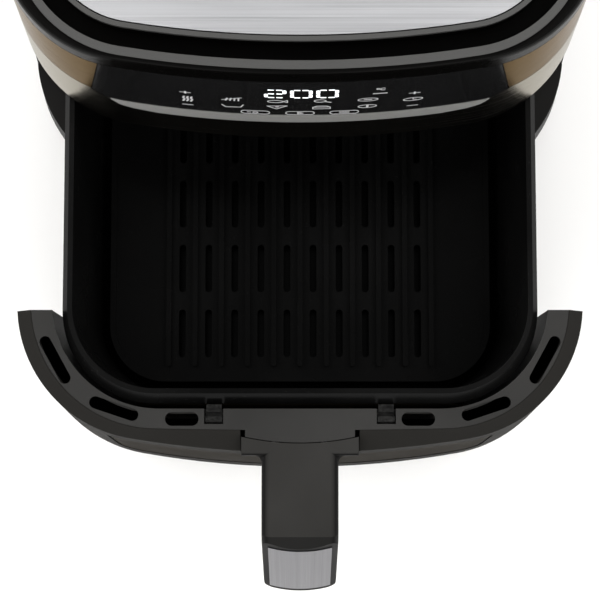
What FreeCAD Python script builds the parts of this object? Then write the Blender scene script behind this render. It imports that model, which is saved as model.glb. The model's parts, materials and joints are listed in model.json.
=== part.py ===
"""A basket-type air fryer with its drawer pulled out, as a parametric FreeCAD document.

Axes: X to the object's right, Y towards its back, Z up, in millimetres. Every piece is drawn about the
housing's own middle, with the drawer shut, and its Placement then moves it into the row frame: the housing
back by body_shift, and the drawer forward from there by drawer_out.
"""
import FreeCAD
import Part
import math
import os
import Sketcher
from FreeCAD import Placement, Rotation, Vector

doc = FreeCAD.newDocument("air_fryer")
sheet = doc.addObject("Spreadsheet::Sheet", "dims")


# ---------------------------------------------------------------- driving dimensions
class Size:
    """A length in millimetres that remembers how it follows from the sheet's cells."""

    def __init__(self, value, text):
        self.value = value
        self.text = text

    def join(self, sign, other, value):
        text = other.text if isinstance(other, Size) else repr(float(other))
        return Size(value, f"({self.text} {sign} {text})")

    def __add__(self, other):
        return self.join("+", other, self.value + number(other))

    def __sub__(self, other):
        return self.join("-", other, self.value - number(other))

    def __mul__(self, other):
        return self.join("*", other, self.value * number(other))

    def __truediv__(self, other):
        return self.join("/", other, self.value / number(other))

    def __neg__(self):
        return Size(-self.value, f"(0 - {self.text})")

    __radd__ = __add__
    __rmul__ = __mul__

    def __rsub__(self, other):
        return -self + other

    def __rtruediv__(self, other):
        return Size(other / self.value, f"({float(other)} / {self.text})")


def number(size):
    return size.value if isinstance(size, Size) else float(size)


def cell(alias, value, note):
    """One driving dimension: its row in the sheet, and the Size that refers to it."""
    cell.row += 1
    sheet.set(f"A{cell.row}", alias)
    sheet.set(f"B{cell.row}", str(value))
    sheet.set(f"C{cell.row}", note)
    sheet.setAlias(f"B{cell.row}", alias)
    return Size(float(value), f"dims.{alias}")


cell.row = 0

body_shift = cell("bodyShift", 106.16, "housing's middle behind the row origin")
drawer_out = cell("drawerOut", 151, "how far the drawer stands out at rest")

half_width = cell("halfWidth", 137.6, "half the width at the drawer's rim")
half_depth = cell("halfDepth", 143.7, "half the housing's depth at the drawer's rim")
corner = cell("cornerRadius", 65, "plan corner at the drawer's rim")
front_radius = cell("frontRadius", 490, "plan bow of the front and back")
side_radius = cell("sideRadius", 1500, "plan bow of the sides")
draft = cell("draft", 0.055, "how fast the front and back lean in, mm per mm")
side_draft = cell("sideDraft", 0.06, "how fast the head's sides lean in, mm per mm")
lower_flare = cell("lowerFlare", 0.09, "how fast the sides spread below the drawer's rim, mm per mm")

foot_high = cell("footHeight", 7, "feet below the base")
sill_z = cell("sillHeight", 40, "top of the base tray, under the drawer")
rim_z = cell("rimHeight", 168, "top of the drawer, bottom of the head")
strip_z = cell("stripHeight", 197.5, "bottom of the accent strip")
panel_z = cell("panelHeight", 209, "bottom of the touch panel")
seam_z = cell("bandSeamHeight", 216, "seam between the two steel bands at the sides")
head_z = cell("headHeight", 263, "top of the touch panel")
top_z = cell("topHeight", 276, "flat top of the top shell")

shell = cell("shellWall", 2.5, "moulded walls")
band = cell("bandWall", 1.2, "steel bands and the touch panel")
gap = cell("seamGap", 0.5, "visible seams between covers")
fit = cell("fitGap", 0.15, "hidden joints between covers")
split_y = cell("drawerSplit", 75.7, "drawer front's end faces in front of the middle")

pan_half = cell("panHalfWidth", 109.6, "inside the pan's rim")
pan_front = cell("panFront", 113.6, "pan's inner front edge in front of the middle")
pan_back = cell("panBack", 94.4, "pan's inner back edge behind the middle")
pan_corner = cell("panCorner", 40, "pan's inner corner")
pan_top = cell("panRimHeight", 164, "top of the pan's rim")
pan_floor = cell("panFloorHeight", 56, "inside of the pan's floor")
pan_wall = cell("panWall", 1.5, "pan's sheet")

cap_half = cell("capHalfWidth", 131.1, "half the width of the drawer front's flat top")
cap_front = cell("capHalfDepth", 134.1, "flat top's front edge in front of the middle")
cap_corner = cell("capCornerRadius", 61, "flat top's plan corner")
cap_radius = cell("capFrontRadius", 3000, "flat top's front bow")

handle_half = cell("handleHalfWidth", 18.35, "half the handle's width")
handle_reach = cell("handleReach", 40.3, "flat top of the handle in front of the drawer")

fan_y = cell("fanCentre", -8, "fan, heater and motor axis")
ceiling_z = cell("ceilingHeight", 206, "top of the cooking chamber")
liner_half = cell("linerHalfWidth", 119, "inside of the chamber's walls")

FRONT = -1000.0
BIG = 2000.0


# ---------------------------------------------------------------- small makers
def bind(target, prop, size):
    """Sets a property from a Size by expression, or from a plain number."""
    if isinstance(size, Size):
        target.setExpression(prop, size.text)
    elif "." in prop:
        target.setExpression(prop, repr(float(size)))
    else:
        setattr(target, prop, size)


drawn_y = {}


def put(target, x=0.0, y=0.0, z=0.0):
    """Moves an object to a place, and remembers its Y for when keep() moves it again."""
    drawn_y[target.Name] = y
    for axis, size in zip("xyz", (x, y, z)):
        bind(target, f"Placement.Base.{axis}", size)


def name_of(kind):
    name_of.count += 1
    return f"{kind}_{name_of.count}"


name_of.count = 0


def box(x, y, z):
    """A block between pairs of Sizes: x=(low, high), y=(low, high), z=(low, high)."""
    made = doc.addObject("Part::Box", name_of("block"))
    for prop, (low, high) in zip(("Length", "Width", "Height"), (x, y, z)):
        bind(made, prop, high - low)
    put(made, x[0], y[0], z[0])
    return made


def cylinder(radius, low, high, x=0.0, y=0.0, along="Z", cross=0.0):
    """A round bar from low to high along Z at (x, y), or along Y at (x, z=cross)."""
    made = doc.addObject("Part::Cylinder", name_of("round"))
    bind(made, "Radius", radius)
    bind(made, "Height", high - low)
    if along == "Y":
        made.Placement = Placement(Vector(), Rotation(Vector(1, 0, 0), -90))
        put(made, x, low, cross)
    else:
        put(made, x, y, low)
    return made


def ring(inner, outer, low, high, x=0.0, y=0.0):
    return cut(cylinder(outer, low, high, x, y), cylinder(inner, low - 1, high + 1, x, y))


def cut(base, *tools):
    made = doc.addObject("Part::Cut", name_of("cut"))
    made.Base = base
    made.Tool = tools[0] if len(tools) == 1 else fuse(*tools)
    return made


def fuse(*shapes):
    made = doc.addObject("Part::MultiFuse", name_of("fuse"))
    made.Shapes = list(shapes)
    return made


def common(first, second):
    made = doc.addObject("Part::MultiCommon", name_of("common"))
    made.Shapes = [first, second]
    return made


def group(*shapes):
    """Several separate solids that are one kind of piece, such as four screws."""
    made = doc.addObject("Part::Compound", name_of("group"))
    made.Links = list(shapes)
    return made


def rounded(base, radius, chosen):
    """base with a fillet on every edge for which chosen(edge) is true."""
    doc.recompute()
    made = doc.addObject("Part::Fillet", name_of("fillet"))
    made.Base = base
    edges = [(i, number(radius), number(radius)) for i, e in enumerate(base.Shape.Edges, 1) if chosen(e)]
    made.Edges = edges
    return made


# ---------------------------------------------------------------- sketches
def sketch(kind="outline", plane="XY"):
    made = doc.addObject("Sketcher::SketchObject", name_of(kind))
    if plane == "XZ":
        made.Placement = Placement(Vector(), Rotation(Vector(1, 0, 0), 90))
    if plane == "YZ":
        made.Placement = Placement(Vector(), Rotation(Vector(0.5, 0.5, 0.5), 120))
    return made


def dimension(target, kind, *args):
    """Adds a dimensional constraint whose last argument is its Size."""
    size = args[-1]
    index = target.addConstraint(Sketcher.Constraint(kind, *args[:-1], number(size)))
    if isinstance(size, Size):
        target.setExpression(f"Constraints[{index}]", size.text)


def arc(centre, radius, start, end):
    circle = Part.Circle(Vector(centre[0], centre[1], 0), Vector(0, 0, 1), radius)
    return Part.ArcOfCircle(circle, math.radians(start), math.radians(end))


def draw_plan(target, half_x, half_y, corner_r, front_r, side_r):
    """The housing's plan: a bowed front, back and sides, joined by round corners, all tangent."""
    a, b, rc, rf, rs = (number(s) for s in (half_x, half_y, corner_r, front_r, side_r))
    fy, sx = rf - b, a - rs
    reach_f, reach_s = rf - rc, rs - rc
    span = math.hypot(sx, fy)
    along = (reach_s ** 2 - reach_f ** 2 + span ** 2) / (2 * span)
    off = math.sqrt(reach_s ** 2 - along ** 2)
    ux, uy = -sx / span, fy / span
    cx, cy = sx + along * ux + off * uy, along * uy - off * ux
    turn_f = math.degrees(math.atan2(cx, fy - cy))
    turn_s = math.degrees(math.atan2(-cy, cx - sx))
    cy = abs(cy)
    turn_s = abs(turn_s)
    target.addGeometry([
        arc((0, fy), rf, -90 - turn_f, -90 + turn_f),
        arc((cx, -cy), rc, -90 + turn_f, -turn_s),
        arc((sx, 0), rs, -turn_s, turn_s),
        arc((cx, cy), rc, turn_s, 90 - turn_f),
        arc((0, -fy), rf, 90 - turn_f, 90 + turn_f),
        arc((-cx, cy), rc, 90 + turn_f, 180 - turn_s),
        arc((-sx, 0), rs, 180 - turn_s, 180 + turn_s),
        arc((-cx, -cy), rc, 180 + turn_s, 270 - turn_f),
    ], False)
    for i in range(8):
        target.addConstraint(Sketcher.Constraint("Tangent", i, 2, (i + 1) % 8, 1))
    for i, size in enumerate((front_r, corner_r, side_r, corner_r) * 2):
        dimension(target, "Radius", i, size)
    for i in (0, 4):
        target.addConstraint(Sketcher.Constraint("PointOnObject", i, 3, -2))
    for i in (2, 6):
        target.addConstraint(Sketcher.Constraint("PointOnObject", i, 3, -1))
    dimension(target, "DistanceY", -1, 1, 0, 3, front_r - half_y)
    dimension(target, "DistanceY", 4, 3, -1, 1, front_r - half_y)
    dimension(target, "DistanceX", 2, 3, -1, 1, side_r - half_x)
    dimension(target, "DistanceX", -1, 1, 6, 3, side_r - half_x)


def draw_points(target, points):
    """A closed run of straight edges through points, each a pair of Sizes or numbers."""
    at = [Vector(number(x), number(y), 0) for x, y in points]
    count = len(at)
    target.addGeometry([Part.LineSegment(at[i], at[(i + 1) % count]) for i in range(count)], False)
    for i in range(count):
        target.addConstraint(Sketcher.Constraint("Coincident", i, 2, (i + 1) % count, 1))
    for i, (x, y) in enumerate(points):
        dimension(target, "DistanceX", -1, 1, i, 1, x)
        dimension(target, "DistanceY", -1, 1, i, 1, y)


def draw_round_rect(target, x, y, radius):
    """A rectangle between x=(low, high) and y=(low, high) with round corners."""
    (x0, x1), (y0, y1) = [[number(s) for s in pair] for pair in (x, y)]
    r = number(radius)
    line = Part.LineSegment
    target.addGeometry([
        line(Vector(x0 + r, y0, 0), Vector(x1 - r, y0, 0)),
        arc((x1 - r, y0 + r), r, -90, 0),
        line(Vector(x1, y0 + r, 0), Vector(x1, y1 - r, 0)),
        arc((x1 - r, y1 - r), r, 0, 90),
        line(Vector(x1 - r, y1, 0), Vector(x0 + r, y1, 0)),
        arc((x0 + r, y1 - r), r, 90, 180),
        line(Vector(x0, y1 - r, 0), Vector(x0, y0 + r, 0)),
        arc((x0 + r, y0 + r), r, 180, 270),
    ], False)
    for i in range(8):
        target.addConstraint(Sketcher.Constraint("Tangent", i, 2, (i + 1) % 8, 1))
    for i in (1, 3, 5, 7):
        dimension(target, "Radius", i, radius)
    for i in (0, 4):
        target.addConstraint(Sketcher.Constraint("Horizontal", i))
    dimension(target, "DistanceY", -1, 1, 0, 1, y[0])
    dimension(target, "DistanceY", -1, 1, 4, 1, y[1])
    dimension(target, "DistanceX", -1, 1, 2, 1, x[1])
    dimension(target, "DistanceX", -1, 1, 6, 1, x[0])


def draw_slot(target, start, end, radius):
    """A round-ended slot between two end centres."""
    (ax, ay), (bx, by) = [[number(s) for s in p] for p in (start, end)]
    r = number(radius)
    way = math.degrees(math.atan2(by - ay, bx - ax))
    nx, ny = -math.sin(math.radians(way)) * r, math.cos(math.radians(way)) * r
    target.addGeometry([
        Part.LineSegment(Vector(ax - nx, ay - ny, 0), Vector(bx - nx, by - ny, 0)),
        arc((bx, by), r, way - 90, way + 90),
        Part.LineSegment(Vector(bx + nx, by + ny, 0), Vector(ax + nx, ay + ny, 0)),
        arc((ax, ay), r, way + 90, way + 270),
    ], False)
    first = target.GeometryCount - 4
    for i in range(4):
        target.addConstraint(Sketcher.Constraint("Tangent", first + i, 2, first + (i + 1) % 4, 1))
    dimension(target, "Radius", first + 1, radius)
    for index, (x, y) in ((first + 1, end), (first + 3, start)):
        dimension(target, "DistanceX", -1, 1, index, 3, x)
        dimension(target, "DistanceY", -1, 1, index, 3, y)


def plan(z, front_inset, side_inset):
    """The housing's plan at a height, moved in from its outline at the drawer's rim."""
    made = sketch("plan")
    mean = (front_inset + side_inset) * 0.5
    draw_plan(made, half_width - side_inset, half_depth - front_inset, corner - mean,
              front_radius - front_inset, side_radius - side_inset)
    put(made, 0, 0, z)
    return made


def lean(z):
    """How far the front and back stand in at a height, against the drawer's rim."""
    return (z - rim_z) * draft


def side_lean(z):
    """The same for the sides, which spread faster below the drawer's rim than above it."""
    return (z - rim_z) * (side_draft if number(z) > number(rim_z) else lower_flare)


def wall_plan(z, inset=0.0, side_inset=None, level=None):
    """The plan at z, moved in from the leaning wall as it is at z, or at another level."""
    level = z if level is None else level
    side_inset = inset if side_inset is None else side_inset
    return plan(z, lean(level) + inset, side_lean(level) + side_inset)


def loft(*sections):
    made = doc.addObject("Part::Loft", name_of("loft"))
    made.Sections = list(sections)
    made.Solid = True
    made.Ruled = True
    return made


def block(low, high, inset=0.0):
    """The housing's solid outline between two heights, moved in by inset."""
    return loft(wall_plan(low, inset), wall_plan(high, inset))


def skin(low, high, outer, inner):
    """A wall that follows the housing's outline, from outer to inner insets."""
    return cut(block(low, high, outer), block(low, high, inner))


def extrude(outline, along, low, high):
    """A prism of an outline from low to high along a row axis."""
    made = doc.addObject("Part::Extrusion", name_of("prism"))
    made.Base = outline
    made.DirMode = "Custom"
    made.Dir = along
    made.Solid = True
    bind(made, "LengthFwd", high)
    bind(made, "LengthRev", -low)
    return made


ALONG_X, ALONG_Y, ALONG_Z = Vector(1, 0, 0), Vector(0, 1, 0), Vector(0, 0, 1)


def slab(x, y, z, radius):
    """A plate with round corners in plan."""
    outline = sketch()
    draw_round_rect(outline, x, y, radius)
    return extrude(outline, ALONG_Z, z[0], z[1])


def window(x, z, radius, y):
    """A prism with round corners in the front view, from y[0] to y[1]."""
    outline = sketch(plane="XZ")
    draw_round_rect(outline, x, z, radius)
    return extrude(outline, ALONG_Y, y[0], y[1])


def front_shape(points, y=(FRONT, 0.0)):
    """A prism of a front-view outline, which cuts the front wall only."""
    outline = sketch(plane="XZ")
    draw_points(outline, points)
    return extrude(outline, ALONG_Y, y[0], y[1])


def both_sides(points):
    """A front-view outline mirrored about X=0, from its right half listed top to bottom."""
    return list(points) + [(-x, z) for x, z in reversed(points)]


# ---------------------------------------------------------------- sub-parts
nodes = {}


def keep(label, made, moves_with="housing"):
    """Names a finished sub-part and gives it its place in the row frame."""
    made.Label = label
    forward = body_shift if moves_with == "housing" else body_shift - drawer_out
    bind(made, "Placement.Base.y", forward + drawn_y.get(made.Name, 0.0))
    nodes[label] = made
    return made


# ---- housing: covers
BASE_SCREWS = [(x, y) for x in (-104, 104) for y in (-70, 70)]


def base_tray():
    outside = fuse(
        loft(wall_plan(foot_high, 6.0, level=foot_high + 7), wall_plan(foot_high + 7)),
        block(foot_high + 7, sill_z - gap),
    )
    hollow = block(foot_high + shell, sill_z - gap - shell, 8)
    behind = box((-BIG, BIG), (2 - split_y, BIG), (0, BIG))
    mouth = common(block(sill_z - gap - shell - 1, sill_z, shell), behind)
    holes = [cylinder(3.6, 0, foot_high + shell + 1, x, y) for x, y in BASE_SCREWS]
    return cut(outside, hollow, mouth, *holes)


def foot(x, y):
    """A rubber foot: a chamfered disc turned about its own axis."""
    body = doc.addObject("PartDesign::Body", name_of("foot_body"))
    profile = body.newObject("Sketcher::SketchObject", name_of("foot_profile"))
    upright_plane = next(f for f in body.Origin.OriginFeatures if f.Role == "XZ_Plane")
    profile.AttachmentSupport = (upright_plane, [""])
    profile.MapMode = "FlatFace"
    draw_points(profile, [(0, 0), (8.0, 0), (9.5, 1.5), (9.5, foot_high), (0, foot_high)])
    turned = body.newObject("PartDesign::Revolution", name_of("foot_turned"))
    turned.Profile = profile
    turned.ReferenceAxis = (profile, ["V_Axis"])
    turned.Angle = 360
    body.Tip = turned
    put(body, x, y)
    return body


REAR_HALF, REAR_LOW, REAR_HIGH = 78, 60, 252


def rear_opening(low, high, grow=0.0):
    return box((-REAR_HALF - grow, REAR_HALF + grow), (60.0, BIG), (low, high))


def outer_shell():
    wall = skin(sill_z, rim_z - fit, 0.0, shell)
    front = box((-BIG, BIG), (FRONT, -split_y), (0, BIG))
    return cut(wall, front, rear_opening(REAR_LOW - gap, BIG, gap))


def head_shell():
    under = band + fit
    wall = skin(rim_z + 2.4, head_z - gap, under, under + shell)
    sight = window((-56.0, 56.0), (226.0, 256.0), 3.0, (FRONT, 0.0))
    return cut(wall, sight, rear_opening(0.0, REAR_HIGH + gap, gap))


def head_floor():
    """The underside of the head, round the chamber's mouth."""
    plate = block(rim_z + 0.2, rim_z + 2.2, band + fit)
    mouth = slab((-liner_half - 1.6, liner_half + 1.6), (-122.0, 110.0), (rim_z - 1, rim_z + 4), 30.0)
    return cut(plate, mouth, rear_opening(0.0, BIG, gap))


# Seams in front view, from the top down: the panel's edge leans out, and the strip ends in a point.
PANEL_TOP, PANEL_WIDE, TIP, STRIP_END = 86.7, 95.0, 87.4, 66.0


def panel_outline(grow=0.0):
    return both_sides([
        (PANEL_TOP + grow, head_z + grow + 5),
        (PANEL_TOP + grow, head_z),
        (PANEL_WIDE + grow, seam_z),
        (TIP + grow, panel_z - grow),
    ])


def notch_outline(grow=0.0):
    return both_sides([
        (PANEL_WIDE + 3 + grow, seam_z + 3),
        (PANEL_WIDE + grow, seam_z - 0.5),
        (TIP + 0.6 + grow, panel_z),
        (TIP - 3.4 + grow, panel_z - 6.2),
        (TIP - 9 + grow, panel_z - 9.4),
        (STRIP_END, strip_z - grow),
    ])


def behind_bands():
    return box((-REAR_HALF - gap, REAR_HALF + gap), (0.0, BIG), (0, BIG))


def lower_band():
    wall = skin(rim_z + 0.2, seam_z - gap / 2, 0.0, band)
    return cut(wall, front_shape(notch_outline(gap / 2)), behind_bands())


def upper_band():
    wall = skin(seam_z + gap / 2, head_z - gap, 0.0, band)
    return cut(wall, front_shape(panel_outline(gap / 2)), behind_bands())


def touch_panel():
    wall = skin(panel_z + gap / 2, head_z - gap, 0.0, band)
    return common(wall, front_shape(panel_outline(-gap / 2)))


def accent_strip():
    wall = skin(strip_z, panel_z - gap / 2, -0.3, band)
    return common(wall, front_shape(both_sides([
        (TIP - 0.2, panel_z),
        (TIP - 4.0, panel_z - 6.2),
        (TIP - 9.6, panel_z - 9.2),
        (STRIP_END - 0.5, strip_z + 0.1),
    ])))


# Rings of the top, as insets from the panel's outline: front, side.
RING_OUT, RING_IN = (2.5, 7.7), (6.4, 11.0)
FRAME_OUT, FRAME_IN, PLATE_EDGE = (14.7, 19.2), (16.9, 21.4), (17.6, 22.1)
TROUGH_DEEP = 8.0
# The top's rounded shoulder: how far it reaches in at the front and at the sides, and how far it drops.
SHOULDER_IN, SHOULDER_DROP = (2.0, 7.0), 6.0


def ring_plan(insets, z, grow=0.0):
    front, side = insets
    return wall_plan(z, front + grow, side + grow, level=head_z)


def ring_block(insets, low, high, grow=0.0):
    return loft(ring_plan(insets, low, grow), ring_plan(insets, high, grow))


def top_shell():
    """A rounded shoulder, an air trough inside it, and a raised middle that carries the plate."""
    below = top_z - SHOULDER_DROP
    front, side = SHOULDER_IN
    dome = loft(*[
        wall_plan(below + SHOULDER_DROP * math.sin(t), front * (1 - math.cos(t)), side * (1 - math.cos(t)), below)
        for t in [math.radians(15 * i) for i in range(7)]
    ])
    outside = fuse(block(head_z, below), dome)
    hollow = block(head_z - 1, below - shell, shell + 3)
    middle = ring_block(FRAME_OUT, top_z - 20, top_z + 5)
    trough = cut(ring_block(RING_IN, top_z - TROUGH_DEEP, top_z + 1), middle)
    within = ring_block(RING_IN, top_z - 20, top_z + 5)
    ring_seat = cut(ring_block(RING_OUT, top_z - 2.5, top_z + 1), within)
    frame_seat = ring_block(FRAME_OUT, top_z - 2.0, top_z + 1)
    trough_floor = cut(
        ring_block(RING_IN, top_z - TROUGH_DEEP - shell, top_z - TROUGH_DEEP + 0.01, -2.0),
        ring_block(FRAME_OUT, top_z - 30, top_z, 1.0),
    )
    return fuse(cut(outside, hollow, trough, ring_seat, frame_seat, trough_inside()), trough_floor)


def trough_inside():
    """Nothing stands on the hollow below the trough, so the trough's own floor closes it."""
    return ring_block(FRAME_OUT, head_z - 1, top_z - TROUGH_DEEP - shell, 6.0)


def top_trim_ring():
    """The satin ring outside the trough, a little lower at its inner edge."""
    outer = ring_block(RING_OUT, top_z - 2.4, top_z, 0.1)
    inner = ring_block(RING_IN, top_z - 5, top_z + 5, 0.0)
    return cut(outer, inner)


def plate_frame():
    outer = ring_block(FRAME_OUT, top_z - 1.9, top_z, 0.1)
    inner = ring_block(FRAME_IN, top_z - 5, top_z + 5)
    return cut(outer, inner)


def top_plate():
    return ring_block(PLATE_EDGE, top_z - 1.9, top_z - 0.6)


def holes_along_y(points, radius, y):
    return fuse(*[cylinder(radius, y[0], y[1], x, 0, "Y", z) for x, z in points])


REAR_SCREWS = [(x, z) for x in (-66, 66) for z in (70, 242)]
GLAND_X, GLAND_Z, GLAND_BORE = -48, 82, 3.6
LOUVRES = [178 + 7 * i for i in range(8)]


def rear_cover():
    wall = skin(REAR_LOW, REAR_HIGH, 0.0, shell)
    patch = common(wall, box((-REAR_HALF, REAR_HALF), (60.0, BIG), (0, BIG)))
    louvres = fuse(*[window((-52.0, 52.0), (z, z + 4.0), 1.9, (100.0, 200.0)) for z in LOUVRES])
    holes = fuse(holes_along_y(REAR_SCREWS, 3.6, (100, 200)),
                 cylinder(7.2, 100, 200, GLAND_X, 0, "Y", GLAND_Z))
    return cut(patch, louvres, holes)


def rear_screws():
    heads = []
    for x, z in REAR_SCREWS:
        face = half_depth - lean(z) - x * x / 2 / front_radius
        heads.append(fuse(cylinder(3.4, face - 3.0, face - 0.6, x, 0, "Y", z),
                          cylinder(1.7, face - 12, face - 2.9, x, 0, "Y", z)))
    return group(*heads)


def cord_gland():
    """The bush that the mains lead would come out of."""
    barrel = cylinder(7.0, 136.0, 149.0, GLAND_X, 0, "Y", GLAND_Z)
    flange = cylinder(10.0, 147.4, 149.7, GLAND_X, 0, "Y", GLAND_Z)
    return cut(fuse(barrel, flange), cylinder(GLAND_BORE, 130, 160, GLAND_X, 0, "Y", GLAND_Z))


# ---- housing: cooking chamber
LINER_WALL, LINER_BACK, LINER_FRONT, LINER_ROUND = 1.2, 108.0, 120.0, 28.0
LAMP = (-88, -88)
SENSOR = (86, -84)


def liner_room(grow, low, high, front):
    return slab((-liner_half - grow, liner_half + grow), (-front - grow, LINER_BACK + grow), (low, high),
                LINER_ROUND + grow)


def liner():
    """The cooking chamber: open in front for the drawer, and closed over it by the part inside the head."""
    wall = LINER_WALL
    behind = box((-BIG, BIG), (0.6 - split_y, BIG), (0, BIG))
    outside = fuse(common(liner_room(wall, 44 - wall, rim_z + 1, 160.0), behind),
                   liner_room(wall, rim_z + 0.3, ceiling_z, LINER_FRONT))
    inside = fuse(liner_room(0.0, 44.0, rim_z + 2, 160.0 + 40),
                  liner_room(0.0, rim_z, ceiling_z - wall, LINER_FRONT))
    through = [cylinder(6.0, ceiling_z - 5, ceiling_z + 5, 0, fan_y),
               cylinder(12.0, ceiling_z - 5, ceiling_z + 5, *LAMP),
               cylinder(2.2, ceiling_z - 5, ceiling_z + 5, *SENSOR)]
    vents = [window((-44.0, 44.0), (z, z + 3.0), 1.4, (90.0, 130.0)) for z in (180, 186, 192, 198)]
    return cut(outside, inside, *through, *vents)


def rail(side):
    """A ledge that carries the pan's rim."""
    inner, outer = liner_half - 7.3, liner_half - 0.2
    return box((inner, outer) if side > 0 else (-outer, -inner), (2 - split_y, 79.0), (152.0, pan_top - 4.6))


def reflector():
    return ring(64.0, 100.0, ceiling_z - LINER_WALL - 1.0, ceiling_z - LINER_WALL - 0.1, 0, fan_y)


HEATER_Z, TUBE, HEATER_OUT, HEATER_IN = 180.0, 3.2, 84.0, 68.0


def heater():
    """A tube bent into two near circles, one inside the other, with both ends turned up."""
    start, stop = math.radians(8), math.radians(338)
    middle = (start + stop) / 2

    def at(radius, angle, ahead=0.0):
        x, y = radius * math.cos(angle), radius * math.sin(angle)
        return Vector(x - ahead * math.sin(angle), y + ahead * math.cos(angle), 0)

    spine = sketch("heater_path")
    half_turn = (HEATER_OUT - HEATER_IN) / 2
    for a, b, c in (
        (at(HEATER_OUT, start), at(HEATER_OUT, middle), at(HEATER_OUT, stop)),
        (at(HEATER_OUT, stop), at(HEATER_IN + half_turn, stop, half_turn), at(HEATER_IN, stop)),
        (at(HEATER_IN, stop), at(HEATER_IN, middle), at(HEATER_IN, start)),
    ):
        spine.addGeometry(Part.Arc(a, b, c), False)
    put(spine, 0, fan_y, HEATER_Z)
    profile = doc.addObject("Part::Circle", name_of("heater_round"))
    profile.Radius = TUBE
    ahead = Vector(-math.sin(start), math.cos(start), 0)
    foot_at = at(HEATER_OUT, start)
    profile.Placement = Placement(Vector(), Rotation(Vector(0, 0, 1), ahead))
    put(profile, foot_at.x, fan_y + foot_at.y, HEATER_Z)
    coil = doc.addObject("Part::Sweep", name_of("coil"))
    coil.Sections = [profile]
    coil.Spine = (spine, ["Edge1", "Edge2", "Edge3"])
    coil.Solid = True
    coil.Frenet = False
    ends = []
    for radius in (HEATER_OUT, HEATER_IN):
        end = at(radius, start)
        ends.append(cylinder(TUBE, HEATER_Z, 203.5, end.x, fan_y + end.y))
        ball = doc.addObject("Part::Sphere", name_of("elbow"))
        ball.Radius = TUBE
        put(ball, end.x, fan_y + end.y, HEATER_Z)
        ends.append(ball)
    return fuse(coil, *ends)


def guard():
    """The pierced steel disc under the heater: two rings of slots, eight and sixteen of them."""
    disc = cylinder(98.0, 172.4, 173.6, 0, fan_y)
    holes = []
    for inner, outer, count in ((16, 34, 6), (38, 56, 12), (60, 76, 18), (80, 92, 24)):
        for i in range(count):
            hole = box((inner, outer), (-3.2, 3.2), (170, 176))
            turn = Rotation(Vector(0, 0, 1), 360 / count * i)
            at = turn.multVec(Vector(inner, -3.2, 170)) + Vector(0, number(fan_y), 0)
            for axis in "xyz":
                hole.setExpression(f"Placement.Base.{axis}", None)
            hole.Placement = Placement(at, turn)
            holes.append(hole)
    posts = [cylinder(2.5, 173.0, ceiling_z - LINER_WALL - 1.1, 94 * math.cos(a), -8 + 94 * math.sin(a))
             for a in [math.radians(45 + 90 * i) for i in range(4)]]
    return fuse(cut(disc, *holes), *posts)


def lamp_lens():
    return cylinder(15.0, ceiling_z - LINER_WALL - 2.2, ceiling_z - LINER_WALL - 0.1, *LAMP)


def lamp_holder():
    return cut(cylinder(15.0, ceiling_z + 0.1, ceiling_z + 22, *LAMP),
               cylinder(11.5, ceiling_z - 1, ceiling_z + 16, *LAMP))


def lamp_bulb():
    bulb = cylinder(6.0, ceiling_z - 1, ceiling_z + 15.9, *LAMP)
    return rounded(bulb, 4.0, lambda e: e.BoundBox.ZMax < number(ceiling_z))


def temperature_sensor():
    flange = cylinder(4.5, ceiling_z + 0.1, ceiling_z + 3, *SENSOR)
    return fuse(cylinder(2.0, 190.0, ceiling_z + 8, *SENSOR), flange)


# ---- housing: machinery in the head
MOTOR_R, SHAFT_R = 32.0, 3.0
BRACKET_FEET = [(x, y) for x in (-44, 44) for y in (-22, 6)]


def insulation():
    pad = slab((-104.0, 104.0), (-66.0, 96.0), (ceiling_z + 0.2, ceiling_z + 6.4), 25.0)
    holes = [cylinder(14.0, 200, 220, 0, fan_y)] + [cylinder(5.0, 200, 220, x, y) for x, y in BRACKET_FEET]
    return cut(pad, *holes)


def motor_bracket():
    plate = slab((-52.0, 52.0), (-30.0, 14.0), (216.0, 218.0), 8.0)
    feet = [cylinder(4.0, ceiling_z + 0.1, 217.0, x, y) for x, y in BRACKET_FEET]
    return cut(fuse(plate, *feet), cylinder(9.0, 200, 230, 0, fan_y))


def motor():
    can = cylinder(MOTOR_R, 218.2, 242.0, 0, fan_y)
    nose = cylinder(8.5, 214.0, 245.0, 0, fan_y)
    return cut(fuse(can, nose), cylinder(SHAFT_R + 0.05, 200, 260, 0, fan_y))


def fan_shroud():
    legs = [box((x, x + 8.0), (fan_y - 12, fan_y + 12), (ceiling_z + 6.6, 245.0)) for x in (-72.0, 64.0)]
    flange = ring(60.0, 74.0, 244.0, 246.0, 0, fan_y)
    return fuse(ring(58.0, 60.5, 244.0, 260.0, 0, fan_y), flange, *legs)


def blades(count, low, high, inner, outer, thick, sweep):
    """Straight blades round the fan's axis, each turned by sweep from the radial."""
    made = []
    for i in range(count):
        at = math.radians(360 / count * i)
        blade = doc.addObject("Part::Box", name_of("blade"))
        blade.Length, blade.Width, blade.Height = outer - inner, thick, high - low
        centre = Vector(inner * math.cos(at), inner * math.sin(at) + number(fan_y), low)
        blade.Placement = Placement(centre, Rotation(Vector(0, 0, 1), math.degrees(at) + sweep))
        made.append(blade)
    return made


def hub_and(parts, low, high, radius):
    hub = cylinder(radius, low, high, 0, fan_y)
    return cut(fuse(hub, *parts), cylinder(SHAFT_R + 0.02, low - 5, high + 5, 0, fan_y))


def convection_fan():
    disc = cylinder(60.0, 198.0, 199.2, 0, fan_y)
    return hub_and([disc, *blades(10, 188, 198.5, 14, 58, 1.2, 18)], 187.0, 200.0, 8.0)


def cooling_fan():
    rim = ring(12.0, 16.0, 248.5, 256.5, 0, fan_y)
    lid = cylinder(14.0, 255.3, 256.5, 0, fan_y)
    return hub_and([rim, lid, *blades(9, 249, 256, 14, 54, 1.6, 24)], 248.5, 257.0, 7.0)


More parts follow.
